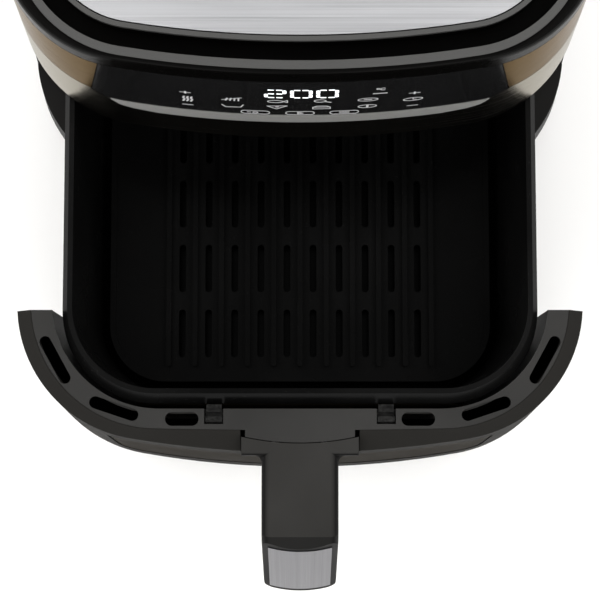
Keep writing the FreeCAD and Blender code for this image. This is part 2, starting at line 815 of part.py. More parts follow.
def motor_shaft():
    return cylinder(SHAFT_R, 185.5, 258.5, 0, fan_y)


def control_board():
    return box((-68.0, 68.0), (-129.2, -127.6), (212.0, 250.0))


def display_module():
    return box((-38.0, 38.0), (-135.2, -130.0), (230.0, 252.0))


def power_board():
    board = box((100.0, 101.6), (-50.0, 60.0), (ceiling_z + 6.5, 256.0))
    parts = [box((86.0, 100.5), (-40.0, -16.0), (218.0, 238.0)),
             box((88.0, 100.5), (24.0, 50.0), (218.0, 246.0)),
             box((92.0, 100.5), (-6.0, 14.0), (220.0, 232.0))]
    return fuse(board, *parts)


def exhaust_duct():
    """Carries the chamber's moist air from its back wall to the rear louvres."""
    y = (LINER_BACK + LINER_WALL + 0.2, 136.0)
    return cut(box((-50.0, 50.0), y, (176.0, 206.0)), box((-48.4, 48.4), (100.0, 150.0), (177.6, 204.4)))


PIVOT = (-131.0, -72.6)


def door_switch():
    ears = [box((-133.2, -129.0), (-74.6, -70.5), z) for z in ((100.0, 102.6), (113.4, 116.0))]
    case = box((-131.6, -124.6), (-70.6, -50.0), (100.0, 116.0))
    return cut(fuse(case, *ears), cylinder(0.75, 90, 120, *PIVOT))


def switch_lever():
    return fuse(cylinder(0.7, 100.5, 115.5, *PIVOT), box((-131.0, -125.0), (-72.9, -72.3), (104.0, 112.0)))


def base_screws():
    screws = []
    for x, y in BASE_SCREWS:
        head = cylinder(3.4, foot_high + 0.1, foot_high + 1.4, x, y)
        screws.append(fuse(head, cylinder(1.7, foot_high + 1.3, 22.0, x, y)))
    return group(*screws)


# ---- drawer
BEVEL_LOW, BEVEL_HIGH = 160.0, 167.0
CAP_THICK, FASCIA_WALL, FASCIA_LOW = 3.0, 3.0, 41.0
NOTCH_HALF, NOTCH_LOW = 28.4, 146.6
SIGHT_HALF, SIGHT_Z, SIGHT_ROUND = 96.0, (64.0, 140.0), 12.0
INNER_HALF, INNER_FRONT, INNER_ROUND = 119.0, 123.6, 52.0


def cap_plan(z, inset=0.0):
    """The flat top's outline, which is straighter in front than the housing's."""
    made = sketch("cap_plan")
    draw_plan(made, cap_half - inset, cap_front - inset, cap_corner - inset,
              cap_radius - inset, side_radius - inset)
    put(made, 0, 0, z)
    return made


def in_front_of(y):
    return box((-BIG, BIG), (FRONT, y), (0, BIG))


def cap_block(low, high, inset):
    return loft(cap_plan(low, inset), cap_plan(high, inset))


def fascia():
    """The drawer's face: a hollow shell with a sloping top edge, closed below and at both ends."""
    bevel = loft(wall_plan(BEVEL_LOW), cap_plan(BEVEL_HIGH))
    outside = fuse(block(FASCIA_LOW, BEVEL_LOW), bevel)
    under = BEVEL_HIGH - CAP_THICK
    inside = fuse(block(FASCIA_LOW + 2.5, BEVEL_LOW - 1.5, FASCIA_WALL),
                  loft(wall_plan(BEVEL_LOW - 1.51, FASCIA_WALL, level=BEVEL_LOW), cap_plan(under, 2.0)))
    hollow = common(inside, in_front_of(-3 - split_y))
    passage = box((-INNER_HALF - 2.2, INNER_HALF + 2.2), (-4 - split_y, BIG), (FASCIA_LOW + 2.5, BIG))
    notch = box((-NOTCH_HALF, NOTCH_HALF), (FRONT, -120.0), (NOTCH_LOW, BIG))
    seat = cap_block(under - 0.1, BEVEL_HIGH + 1, 0.4)
    sight = window((-SIGHT_HALF, SIGHT_HALF), SIGHT_Z, SIGHT_ROUND, (FRONT, -100.0))
    face = cut(common(outside, in_front_of(-split_y - gap)), hollow, passage, notch, seat, sight)
    tab = box((-129.4, -125.4), (-1 - gap - split_y, -73.2), (106.0, 110.0))
    return fuse(face, tab)


def sight_prism(shrink):
    half, (low, high) = SIGHT_HALF - shrink, SIGHT_Z
    return window((-half, half), (low + shrink, high - shrink), SIGHT_ROUND - shrink, (FRONT, 0.0))


def face_pane(outer, inner, shrink):
    """A curved sheet in the face's opening, between two insets from the face."""
    return common(common(skin(50.0, 155.0, outer, inner), in_front_of(-100.0)), sight_prism(shrink))


def window_glass():
    return face_pane(0.3, 2.8, 1.7)


def window_gasket():
    return cut(face_pane(0.7, 2.6, 0.1), sight_prism(1.6))


def u_wall(grow, low, high, back):
    half = INNER_HALF + grow
    return slab((-half, half), (-INNER_FRONT - grow, back), (low, high), INNER_ROUND + grow)


def inner_wall():
    """The wall between the pan and the drawer's face, with the inner pane's opening."""
    wall = cut(u_wall(2.0, FASCIA_LOW + 2.7, 163.8, 60.0), u_wall(0.0, 0.0, 200.0, 120.0))
    opening = window((-74.0, 74.0), (80.0, 146.0), 6.0, (FRONT, 0.0))
    pockets = clip_pockets(160.2)
    return cut(wall, opening, *pockets, box((-BIG, BIG), (-split_y - gap, BIG), (0, BIG)))


def inner_glass():
    return window((-80.0, 80.0), (76.0, 150.0), 6.0, (-121.2, -118.2))


SLOTS = [
    ((61.0, -128.3), (51.5, -128.3), 3.25),
    ((97.5, -120.4), (79.8, -126.3), 2.9),
    ((121.7, -91.5), (112.1, -108.8), 2.75),
]
CLIP_X, CLIP_Y = (36.5, 45.6), (-130.7, -123.0)
SEAM_ARC, SEAM_FRONT = 125.0, 139.5
HANDLE_SCREWS = [(-12.0, 157.0), (12.0, 157.0)]


def clip_pockets(low):
    spans = [sorted(side * x for x in CLIP_X) for side in (-1, 1)]
    return [box(span, (CLIP_Y[0], -120.0), (low, 200.0)) for span in spans]


def drawer_cap():
    """The flat top of the drawer's front: three air slots a side, two clip pockets and a tongue."""
    low, high = BEVEL_HIGH - CAP_THICK, BEVEL_HIGH
    plate = cap_block(low, high, 0.55)
    tongue = common(box((-26.1, 26.1), (-142.0, -130.0), (low, high)),
                    cylinder(SEAM_ARC, low, high, 0, SEAM_ARC - SEAM_FRONT))
    tab = box((-24.0, 24.0), (-136.2, -133.8), (150.0, low + 0.5))
    outlines = sketch("slots")
    for start, end, radius in SLOTS:
        for side in (-1, 1):
            draw_slot(outlines, (side * start[0], start[1]), (side * end[0], end[1]), radius)
    trimmed = cut(common(fuse(plate, tongue), in_front_of(-split_y - gap)), u_wall(-0.2, 0.0, 250.0, 200.0),
                  extrude(outlines, ALONG_Z, 100.0, 200.0), *clip_pockets(100.0))
    return cut(fuse(trimmed, tab), holes_along_y(HANDLE_SCREWS, 2.1, (-150, -120)))


def clip(side):
    """A spring clip that holds the pan's front rim: a low bed, a bar and a lip over the gap."""
    low, high = sorted(side * x for x in CLIP_X)
    low, high = low + 0.5, high - 0.5
    bed = box((low, high), (CLIP_Y[0] + 0.4, -123.9), (160.5, 162.2))
    bar = box((low, high), (-129.6, -127.0), (162.0, 165.6))
    lip = box((low + 0.4, high - 0.4), (-124.9, -121.3), (162.0, 164.8))
    return fuse(bed, bar, lip)


def pan_plan(z, side, front=None, radius=None):
    made = sketch("pan_plan")
    front = side if front is None else front
    radius = pan_corner + side if radius is None else radius
    draw_round_rect(made, (-pan_half - side, pan_half + side), (-pan_front - front, pan_back + side), radius)
    put(made, 0, 0, z)
    return made


PAN_DRAW = 3.0


def pan():
    """The coated bowl: leaning walls, a rolled rim that slopes outwards, and an opening for the window."""
    bottom = pan_floor - pan_wall
    bowl = loft(pan_plan(bottom, pan_wall - PAN_DRAW), pan_plan(pan_top - 3, pan_wall))
    bowl = rounded(bowl, 9.0, lambda e: e.BoundBox.ZMax < number(pan_floor))
    room = loft(pan_plan(pan_floor, -PAN_DRAW), pan_plan(pan_top + 2, 0.0))
    room = rounded(room, 7.5, lambda e: e.BoundBox.ZMax < number(pan_floor) + 1)
    rim = fuse(loft(pan_plan(pan_top - 4.2, 4.8, 7.1), pan_plan(pan_top - 2.6, 4.8, 7.1)),
               loft(pan_plan(pan_top - 2.61, 4.8, 7.1), pan_plan(pan_top, 2.4, 2.4)))
    return cut(fuse(bowl, rim), room, window((-70.0, 70.0), (84.0, 142.0), 6.0, (-140.0, -90.0)))


GRIP_TOP, GRIP_LOW = (-190.0, 162.5), (-213.5, 101.0)
ARM_HIGH, ARM_LOW = 167.0, 147.0


def grip_line(t, away):
    """A point in side view: t along the grip's outer face from its top, and away from it into the grip."""
    dy, dz = GRIP_LOW[0] - GRIP_TOP[0], GRIP_LOW[1] - GRIP_TOP[1]
    length = math.hypot(dy, dz)
    dy, dz = dy / length, dz / length
    return (GRIP_TOP[0] + dy * t - dz * away, GRIP_TOP[1] + dz * t + dy * away)


GRIP_LONG, GRIP_THICK, COVER_THICK, ARM_ROUND = 65.8, 12.5, 3.0, 5.0
GRIP_BOW = 56.0
# The steel insert's ends along the grip, and half its width.
INSERT, INSERT_HALF = (2.5, 61.5), 15.3


def side_prism(points, half):
    outline = sketch(plane="YZ")
    draw_points(outline, points)
    return extrude(outline, ALONG_X, -half, half)


def bowed_bar(inward):
    """A thick bar along the grip. Its surface is the grip's bowed outer face, moved inward."""
    lean = math.atan2(GRIP_TOP[0] - GRIP_LOW[0], GRIP_TOP[1] - GRIP_LOW[1])
    made = doc.addObject("Part::Cylinder", name_of("bowed_bar"))
    bind(made, "Radius", GRIP_BOW - inward)
    bind(made, "Height", 240)
    made.Placement = Placement(Vector(), Rotation(Vector(1, 0, 0), -math.degrees(lean)))
    put(made, 0, *grip_line(120, GRIP_BOW))
    return made


def insert_prism(grow):
    top, low = INSERT[0] - grow, INSERT[1] + grow
    corners = [grip_line(top, -5), grip_line(low, -5), grip_line(low, 6), grip_line(top, 6)]
    return side_prism(corners, INSERT_HALF + grow)


def handle():
    """An arm straight out of the drawer's top, turned down into a grip that leans outwards."""
    reach = -half_depth - handle_reach
    drop, run = GRIP_TOP[1] - GRIP_LOW[1], GRIP_TOP[0] - GRIP_LOW[0]
    lean_out = run / drop
    back_y, back_z = grip_line(GRIP_LONG, GRIP_THICK)
    elbow = (back_y + (ARM_LOW - back_z) * lean_out, ARM_LOW)
    arm = side_prism([(-139.0, ARM_HIGH), (reach, ARM_HIGH), GRIP_TOP, grip_line(GRIP_LONG, 0),
                      (back_y, back_z), elbow, (-139.0, ARM_LOW)], handle_half)
    arm = rounded(arm, ARM_ROUND, lambda e: e.BoundBox.XLength < 0.1 and e.BoundBox.YMin < -150)
    root = box((-27.9, 27.9), (-145.6, -134.5), (NOTCH_LOW + 0.4, ARM_HIGH))
    root = rounded(root, 2.0, lambda e: e.BoundBox.YMax < -145 and e.BoundBox.ZLength < 1)
    behind = cylinder(SEAM_ARC + 0.4, 100, 200, 0, SEAM_ARC - SEAM_FRONT)
    recess = cut(insert_prism(0.2), bowed_bar(0.8))
    screws = holes_along_y(HANDLE_SCREWS, 2.0, (-151, -120))
    return cut(fuse(common(arm, bowed_bar(0.0)), root, root_fillets()), behind, recess, screws)


def root_fillets():
    """Concave corners where the arm meets its root."""
    size, edge = 3.5, -145.6
    level = (ARM_LOW + 4, ARM_HIGH - 4.5)
    left = box((-handle_half - size, -handle_half + 0.5), (edge - size, edge + 0.6), level)
    right = box((handle_half - 0.5, handle_half + size), (edge - size, edge + 0.6), level)
    rounds = [cylinder(size, 100, 200, side * (handle_half + size), edge - size) for side in (-1, 1)]
    return cut(fuse(left, right), *rounds)


def handle_insert():
    return common(cut(bowed_bar(-0.4), bowed_bar(0.75)), insert_prism(0.0))


def handle_cover():
    top, low = 16.0, GRIP_LONG - 1.5
    near, far = GRIP_THICK + 0.1, GRIP_THICK + COVER_THICK
    corners = [grip_line(top, near), grip_line(low, near), grip_line(low, far), grip_line(top, far)]
    behind = grip_line((top + low) / 2, near + 1)[0]
    return rounded(side_prism(corners, 13.4), 1.5, lambda e: e.BoundBox.XLength < 0.1
                   and e.BoundBox.ZLength > 20 and e.CenterOfMass.y > behind)


def handle_screws():
    screws = []
    for x, z in HANDLE_SCREWS:
        head = cylinder(3.4, -133.7, -131.6, x, 0, "Y", z)
        screws.append(fuse(head, cylinder(1.9, -149, -133.6, x, 0, "Y", z)))
    return group(*screws)


# ---- grill plate
GRILL_LOW, GRILL_HIGH, RIB_TOP = 66.0, 69.0, 73.0
GRILL_HALF, GRILL_Y, RIB_PITCH, DRAIN_PITCH = 101.5, (-105.5, 86.3), 14.0, 35.0


def drawn_in(body, height):
    """A sketch inside a body, on a level plane."""
    made = body.newObject("Sketcher::SketchObject", name_of("level_sketch"))
    level = next(f for f in body.Origin.OriginFeatures if f.Role == "XY_Plane")
    made.AttachmentSupport = (level, [""])
    made.MapMode = "FlatFace"
    made.AttachmentOffset = Placement(Vector(0, 0, height), Rotation())
    return made


def feature(body, kind, profile, length):
    made = body.newObject(f"PartDesign::{kind}", name_of(kind.lower()))
    made.Profile = profile
    made.Length = length
    return made


def pattern(body, profile, axis, length, count, original=None):
    made = body.newObject("PartDesign::LinearPattern", name_of("pattern"))
    made.Direction = (profile, [axis])
    made.Length = length
    made.Occurrences = count
    if original:
        made.Originals = [original]
    return made


def grill_plate():
    """A cast plate with a raised edge, ribs from front to back, and drain slots between them."""
    body = doc.addObject("PartDesign::Body", name_of("grill_body"))
    half, (y0, y1) = GRILL_HALF, GRILL_Y
    outline = drawn_in(body, GRILL_LOW)
    draw_round_rect(outline, (-half, half), (y0, y1), 30.0)
    feature(body, "Pad", outline, GRILL_HIGH + 2 - GRILL_LOW)
    dish = drawn_in(body, GRILL_HIGH + 2)
    draw_round_rect(dish, (3 - half, half - 3), (y0 + 3, y1 - 3), 27.0)
    feature(body, "Pocket", dish, 2.0)
    rib = drawn_in(body, GRILL_HIGH)
    draw_round_rect(rib, (-1.3 - 5 * RIB_PITCH, 1.3 - 5 * RIB_PITCH), (y0 + 8, y1 - 8), 1.2)
    first_rib = feature(body, "Pad", rib, RIB_TOP - GRILL_HIGH)
    body.Tip = pattern(body, rib, "H_Axis", 10 * RIB_PITCH, 11, first_rib)
    drain = drawn_in(body, GRILL_HIGH)
    left, front = -4.5 * RIB_PITCH, (y0 + y1) / 2 - 2 * DRAIN_PITCH
    draw_slot(drain, (left, front - 11.0), (left, front + 11.0), 1.8)
    first_drain = feature(body, "Pocket", drain, GRILL_HIGH - GRILL_LOW)
    grid = body.newObject("PartDesign::MultiTransform", name_of("drain_grid"))
    grid.Originals = [first_drain]
    across = pattern(body, drain, "H_Axis", 9 * RIB_PITCH, 10)
    along = pattern(body, drain, "V_Axis", 4 * DRAIN_PITCH, 5)
    grid.Transformations = [across, along]
    body.Tip = grid
    return body


def grill_bumpers():
    """Silicone feet that hold the plate off the pan's floor."""
    middle = sum(GRILL_Y) / 2
    places = [(x, middle + y) for x in (-84, 84) for y in (-72, 72)]
    return group(*[cylinder(5.0, pan_floor + 0.3, GRILL_LOW, x, y) for x, y in places])


# ---------------------------------------------------------------- assembly
HOUSING = [
    base_tray, outer_shell, head_shell, head_floor, lower_band, upper_band, touch_panel, accent_strip,
    top_shell, top_trim_ring, plate_frame, top_plate, rear_cover, rear_screws, cord_gland, liner,
    reflector, heater, guard, lamp_lens, lamp_holder, lamp_bulb, temperature_sensor, insulation,
    motor_bracket, motor, fan_shroud, convection_fan, cooling_fan, motor_shaft, control_board,
    display_module, power_board, exhaust_duct, door_switch, switch_lever, base_screws,
]
DRAWER = [
    fascia, window_glass, window_gasket, inner_wall, inner_glass, drawer_cap, pan, handle,
    handle_insert, handle_cover, handle_screws, grill_plate, grill_bumpers,
]


def assemble():
    for maker in HOUSING:
        keep(maker.__name__, maker())
    for maker in DRAWER:
        keep(maker.__name__, maker(), "drawer")
    for word, side in (("left", -1), ("right", 1)):
        keep(f"rail_{word}", rail(side))
        keep(f"pan_clip_{word}", clip(side), "drawer")
        for end, y in (("front", -98.0), ("rear", 98.0)):
            keep(f"foot_{end}_{word}", foot(side * 100.0, y))


def check_all():
    """Stops before anything is written if an object failed or a sub-part is not a valid closed solid."""
    failed = [o.Name for o in doc.Objects if {"Invalid", "Error"} & set(o.State)]
    for label, made in nodes.items():
        shape = made.Shape
        if shape.isNull() or not shape.isValid() or not shape.Solids:
            failed.append(label)
    if failed:
        raise SystemExit(f"failed: {failed}")


def write_all():
    os.makedirs("parts", exist_ok=True)
    for label, made in nodes.items():
        made.Shape.exportStep(f"parts/{label}.step")


assemble()
doc.recompute()
check_all()
write_all()
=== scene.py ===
"""Looks for the air fryer: materials, the panel's digits and signs, floor, light and camera."""
import json
import math

import bmesh
import bpy
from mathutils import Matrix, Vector


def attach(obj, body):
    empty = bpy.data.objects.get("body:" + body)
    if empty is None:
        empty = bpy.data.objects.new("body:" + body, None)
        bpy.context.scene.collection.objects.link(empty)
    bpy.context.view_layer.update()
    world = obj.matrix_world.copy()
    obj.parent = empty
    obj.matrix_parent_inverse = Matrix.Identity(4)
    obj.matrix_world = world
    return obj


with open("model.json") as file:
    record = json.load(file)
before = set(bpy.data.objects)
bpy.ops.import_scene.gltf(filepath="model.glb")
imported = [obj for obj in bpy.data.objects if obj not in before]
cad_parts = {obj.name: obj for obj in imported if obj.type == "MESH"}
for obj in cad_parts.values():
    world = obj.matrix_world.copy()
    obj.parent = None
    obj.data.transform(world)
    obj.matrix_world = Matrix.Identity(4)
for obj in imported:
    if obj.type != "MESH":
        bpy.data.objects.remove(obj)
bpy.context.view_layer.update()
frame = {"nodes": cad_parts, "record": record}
nodes = frame["nodes"]
MM = 0.001

# The housing's bowed front, as the CAD draws it, in mm: where its middle stands, its depth and radius at
# the rim, and how far it leans in for each mm of height.
BODY_SHIFT = 106.16
HALF_DEPTH, FRONT_RADIUS, DRAFT, RIM_Z = 143.7, 490.0, 0.055, 168.0


def front_point(x, z, out):
    """A point on the bowed, leaning front at (x, z) in mm, moved outwards by out. It is in metres."""
    inset = (z - RIM_Z) * DRAFT
    radius = FRONT_RADIUS - inset + out
    y = -(HALF_DEPTH - inset + out) + radius - math.sqrt(radius * radius - x * x)
    return Vector((x, y + BODY_SHIFT, z)) * MM


# ---- node helpers
def new_material(name):
    mat = bpy.data.materials.new(name)
    mat.use_nodes = True
    tree = mat.node_tree
    tree.nodes.clear()
    out = tree.nodes.new("ShaderNodeOutputMaterial")
    bsdf = tree.nodes.new("ShaderNodeBsdfPrincipled")
    tree.links.new(bsdf.outputs["BSDF"], out.inputs["Surface"])
    return mat, tree, bsdf


def coords(tree, scale):
    """The object's own position in metres, stretched by scale."""
    place = tree.nodes.new("ShaderNodeTexCoord")
    mapping = tree.nodes.new("ShaderNodeMapping")
    mapping.inputs["Scale"].default_value = scale
    tree.links.new(place.outputs["Object"], mapping.inputs["Vector"])
    return mapping.outputs["Vector"]


def noise(tree, scale, detail=3.0, rough=0.5, size=(1, 1, 1), distortion=0.0):
    made = tree.nodes.new("ShaderNodeTexNoise")
    made.inputs["Scale"].default_value = scale
    made.inputs["Detail"].default_value = detail
    made.inputs["Roughness"].default_value = rough
    made.inputs["Distortion"].default_value = distortion
    tree.links.new(coords(tree, size), made.inputs["Vector"])
    return made.outputs["Fac"]


def maths(tree, operation, *values):
    """A Math node. Each value is a socket or a number."""
    made = tree.nodes.new("ShaderNodeMath")
    made.operation = operation
    for socket, value in zip(made.inputs, values):
        if isinstance(value, float):
            socket.default_value = value
        else:
            tree.links.new(value, socket)
    return made.outputs[0]


def ramp(tree, source, low, high, at=(0.3, 0.7)):
    """Maps source from the span at to the span from low to high."""
    made = tree.nodes.new("ShaderNodeMapRange")
    made.inputs["From Min"].default_value = at[0]
    made.inputs["From Max"].default_value = at[1]
    made.inputs["To Min"].default_value = low
    made.inputs["To Max"].default_value = high
    tree.links.new(source, made.inputs["Value"])
    return made.outputs["Result"]


def colour_mix(tree, factor, first, second):
    """Mixes two colours, each a tuple or a socket."""
    made = tree.nodes.new("ShaderNodeMix")
    made.data_type = "RGBA"
    tree.links.new(factor, made.inputs["Factor"])
    for socket, value in (("A", first), ("B", second)):
        target = [s for s in made.inputs if s.name == socket and s.type == "RGBA"][0]
        if isinstance(value, tuple):
            target.default_value = (*value, 1.0)
        else:
            tree.links.new(value, target)
    return [s for s in made.outputs if s.type == "RGBA"][0]


def bumps(tree, bsdf, *layers):
    """Stacks bump layers (height, strength, distance in mm) on the shader's normal."""
    normal = None
    for height, strength, distance in layers:
        bump = tree.nodes.new("ShaderNodeBump")
        bump.inputs["Strength"].default_value = strength
        bump.inputs["Distance"].default_value = distance * MM
        tree.links.new(height, bump.inputs["Height"])
        if normal is not None:
            tree.links.new(normal, bump.inputs["Normal"])
        normal = bump.outputs["Normal"]
    tree.links.new(normal, bsdf.inputs["Normal"])


# ---- materials
def brushed(name, low, high, lines, rough=(0.24, 0.4), strength=0.22, aniso=0.0, edge=(1.0, 1.0, 1.0)):
    """Steel with fine parallel lines.

    lines is how fast the pattern changes along X, Y and Z. aniso stretches reflections round the Z axis.
    edge tints reflections at a shallow angle.
    """
    mat, tree, bsdf = new_material(name)
    bsdf.inputs["Metallic"].default_value = 1.0
    bsdf.inputs["Specular Tint"].default_value = (*edge, 1.0)
    fine = noise(tree, 1.0, 4.0, 0.65, lines)
    coarse = noise(tree, 1.0, 2.0, 0.5, tuple(v * 0.21 for v in lines))
    cloud = noise(tree, 6.0, 2.0)
    tone = maths(tree, "MULTIPLY_ADD", coarse, 0.5, maths(tree, "MULTIPLY", fine, 0.5))
    colour = colour_mix(tree, ramp(tree, tone, 0.0, 1.0, (0.34, 0.66)), low, high)
    tree.links.new(colour, bsdf.inputs["Base Color"])
    worn = maths(tree, "ADD", ramp(tree, fine, *rough), ramp(tree, cloud, -0.03, 0.05))
    tree.links.new(worn, bsdf.inputs["Roughness"])
    bumps(tree, bsdf, (fine, strength, 0.02))
    if aniso:
        bsdf.inputs["Anisotropic"].default_value = aniso
        way = tree.nodes.new("ShaderNodeTangent")
        way.direction_type = "RADIAL"
        way.axis = "Z"
        tree.links.new(way.outputs["Tangent"], bsdf.inputs["Tangent"])
    return mat


def grained(name, dark, light, rough=(0.42, 0.58), grain=0.35, depth=0.05, spec=0.25, dust_and_upright_shade=1.0):
    """Moulded plastic: fine pebbled grain, slow changes of tone and gloss, and painted shade that makes upright
    faces darker than level ones, as if lit only from above.
    """
    mat, tree, bsdf = new_material(name)
    pebble = tree.nodes.new("ShaderNodeTexVoronoi")
    pebble.feature = "SMOOTH_F1"
    pebble.inputs["Scale"].default_value = 1000.0 / grain
    tree.links.new(coords(tree, (1, 1, 1)), pebble.inputs["Vector"])
    fine = noise(tree, 1400.0, 3.0)
    slow = noise(tree, 18.0, 3.0)
    colour = colour_mix(tree, ramp(tree, slow, 0.0, 1.0), dark, light)
    # Painted shade: the base colour darkens towards the dark tone times this factor as a face turns from level to
    # upright.
    if dust_and_upright_shade < 1.0:
        facing = tree.nodes.new("ShaderNodeNewGeometry")
        split = tree.nodes.new("ShaderNodeSeparateXYZ")
        tree.links.new(facing.outputs["Normal"], split.inputs["Vector"])
        upright_shade_dark = tuple(c * dust_and_upright_shade for c in dark)
        colour = colour_mix(tree, ramp(tree, split.outputs["Z"], 0.0, 1.0, (0.7, 0.99)), upright_shade_dark, colour)
    tree.links.new(colour, bsdf.inputs["Base Color"])
    tree.links.new(ramp(tree, slow, *rough), bsdf.inputs["Roughness"])
    bsdf.inputs["Specular IOR Level"].default_value = spec
    bumps(tree, bsdf, (pebble.outputs["Distance"], 0.35, depth), (fine, 0.12, 0.02))
    return mat


def polished(name, dark, light, rough=(0.05, 0.12), spec=0.3, ripple=0.04):
    """Gloss plastic: faint moulding ripple, hairline scratches that only show in the gloss, and dust."""
    mat, tree, bsdf = new_material(name)
    slow = noise(tree, 25.0, 2.0)
    scratch = noise(tree, 1.0, 6.0, 0.8, (900, 90, 200), 0.6)
    dust_and_upright_shade = noise(tree, 2600.0, 1.0)
    colour = colour_mix(tree, ramp(tree, dust_and_upright_shade, 0.0, 1.0, (0.66, 0.8)), dark, light)
    tree.links.new(colour, bsdf.inputs["Base Color"])
    total = maths(tree, "ADD", ramp(tree, slow, *rough), ramp(tree, scratch, 0.0, 0.06, (0.55, 0.75)))
    tree.links.new(total, bsdf.inputs["Roughness"])
    bsdf.inputs["Specular IOR Level"].default_value = spec
    bumps(tree, bsdf, (slow, 0.3, ripple), (scratch, 0.05, 0.01))
    return mat


def coated(name, dark, light, fleck, rough=(0.2, 0.3), spec=0.1):
    """Non-stick coating: near black, with fine pale flecks and a slight orange peel."""
    mat, tree, bsdf = new_material(name)
    cells = tree.nodes.new("ShaderNodeTexVoronoi")
    cells.inputs["Scale"].default_value = 900.0
    tree.links.new(coords(tree, (1, 1, 1)), cells.inputs["Vector"])
    peel = noise(tree, 700.0, 2.0)
    slow = noise(tree, 14.0, 3.0)
    base = colour_mix(tree, ramp(tree, slow, 0.0, 1.0), dark, light)
    spots = ramp(tree, cells.outputs["Distance"], 1.0, 0.0, (0.05, 0.17))
    few = maths(tree, "MULTIPLY", spots, ramp(tree, noise(tree, 420.0, 1.0), 0.0, 0.8, (0.5, 0.7)))
    tree.links.new(colour_mix(tree, few, base, fleck), bsdf.inputs["Base Color"])
    tree.links.new(ramp(tree, slow, *rough), bsdf.inputs["Roughness"])
    bsdf.inputs["Specular IOR Level"].default_value = spec
    bumps(tree, bsdf, (peel, 0.18, 0.06), (cells.outputs["Distance"], 0.08, 0.03))
    return mat


def painted(name, dark, light, rough=(0.3, 0.42), metallic=0.4):
    """Satin metallic paint with a fine flake."""
    mat, tree, bsdf = new_material(name)
    flake = noise(tree, 3500.0, 2.0)
    slow = noise(tree, 20.0, 2.0)
    tree.links.new(colour_mix(tree, ramp(tree, flake, 0.0, 1.0), dark, light), bsdf.inputs["Base Color"])
    tree.links.new(ramp(tree, slow, *rough), bsdf.inputs["Roughness"])
    bsdf.inputs["Metallic"].default_value = metallic
    bumps(tree, bsdf, (flake, 0.06, 0.01), (noise(tree, 600.0, 2.0), 0.08, 0.02))
    return mat


def glassy(name, tint, rough=0.03, clear=0.92, ior=1.5):
    """Glass with a faint smear, which changes its tint and gloss a little."""
    mat, tree, bsdf = new_material(name)
    smear = noise(tree, 30.0, 4.0)
    tree.links.new(colour_mix(tree, ramp(tree, smear, 0.0, 1.0), tint, tuple(c * 1.12 for c in tint)),
                   bsdf.inputs["Base Color"])
    tree.links.new(ramp(tree, smear, rough, rough + 0.05), bsdf.inputs["Roughness"])
    bsdf.inputs["Transmission Weight"].default_value = clear
    bsdf.inputs["IOR"].default_value = ior
    bumps(tree, bsdf, (noise(tree, 60.0, 1.0), 0.05, 0.02))
    return mat


def fibrous(name, dark, light):
    """Mineral wool: a tangle of fibres."""
    mat, tree, bsdf = new_material(name)
    tangle = noise(tree, 500.0, 8.0, 0.8, (1, 3, 1), 2.5)
    tree.links.new(colour_mix(tree, ramp(tree, tangle, 0.0, 1.0), dark, light), bsdf.inputs["Base Color"])
    tree.links.new(ramp(tree, tangle, 0.85, 0.98), bsdf.inputs["Roughness"])
    bsdf.inputs["Sheen Weight"].default_value = 0.3
    bumps(tree, bsdf, (tangle, 0.8, 0.4))
    return mat


def circuit(name):
    """A lacquered board with pale tracks in a brick pattern and tinned dots."""
    mat, tree, bsdf = new_material(name)
    tracks = tree.nodes.new("ShaderNodeTexBrick")
    tracks.inputs["Scale"].default_value = 90.0
    tracks.inputs["Mortar Size"].default_value = 0.035
    tree.links.new(coords(tree, (1.3, 1, 2.1)), tracks.inputs["Vector"])
    dots = tree.nodes.new("ShaderNodeTexVoronoi")
    dots.inputs["Scale"].default_value = 260.0
    tree.links.new(coords(tree, (1, 1, 1)), dots.inputs["Vector"])
    lacquer = colour_mix(tree, tracks.outputs["Fac"], (0.02, 0.11, 0.045), (0.07, 0.26, 0.12))
    spots = ramp(tree, dots.outputs["Distance"], 1.0, 0.0, (0.1, 0.16))
    tree.links.new(colour_mix(tree, spots, lacquer, (0.6, 0.58, 0.5)), bsdf.inputs["Base Color"])
    tree.links.new(ramp(tree, noise(tree, 60.0), 0.2, 0.4), bsdf.inputs["Roughness"])
    bumps(tree, bsdf, (tracks.outputs["Fac"], 0.3, 0.05))
    return mat


def lit(name, colour, strength):
    """The display's digits: a glow that is a little uneven over each bar."""
    mat, tree, bsdf = new_material(name)
    glow = ramp(tree, noise(tree, 500.0, 1.0), strength * 0.85, strength * 1.1)
    bsdf.inputs["Base Color"].default_value = (*colour, 1.0)
    bsdf.inputs["Emission Color"].default_value = (*colour, 1.0)
    tree.links.new(glow, bsdf.inputs["Emission Strength"])
    return mat


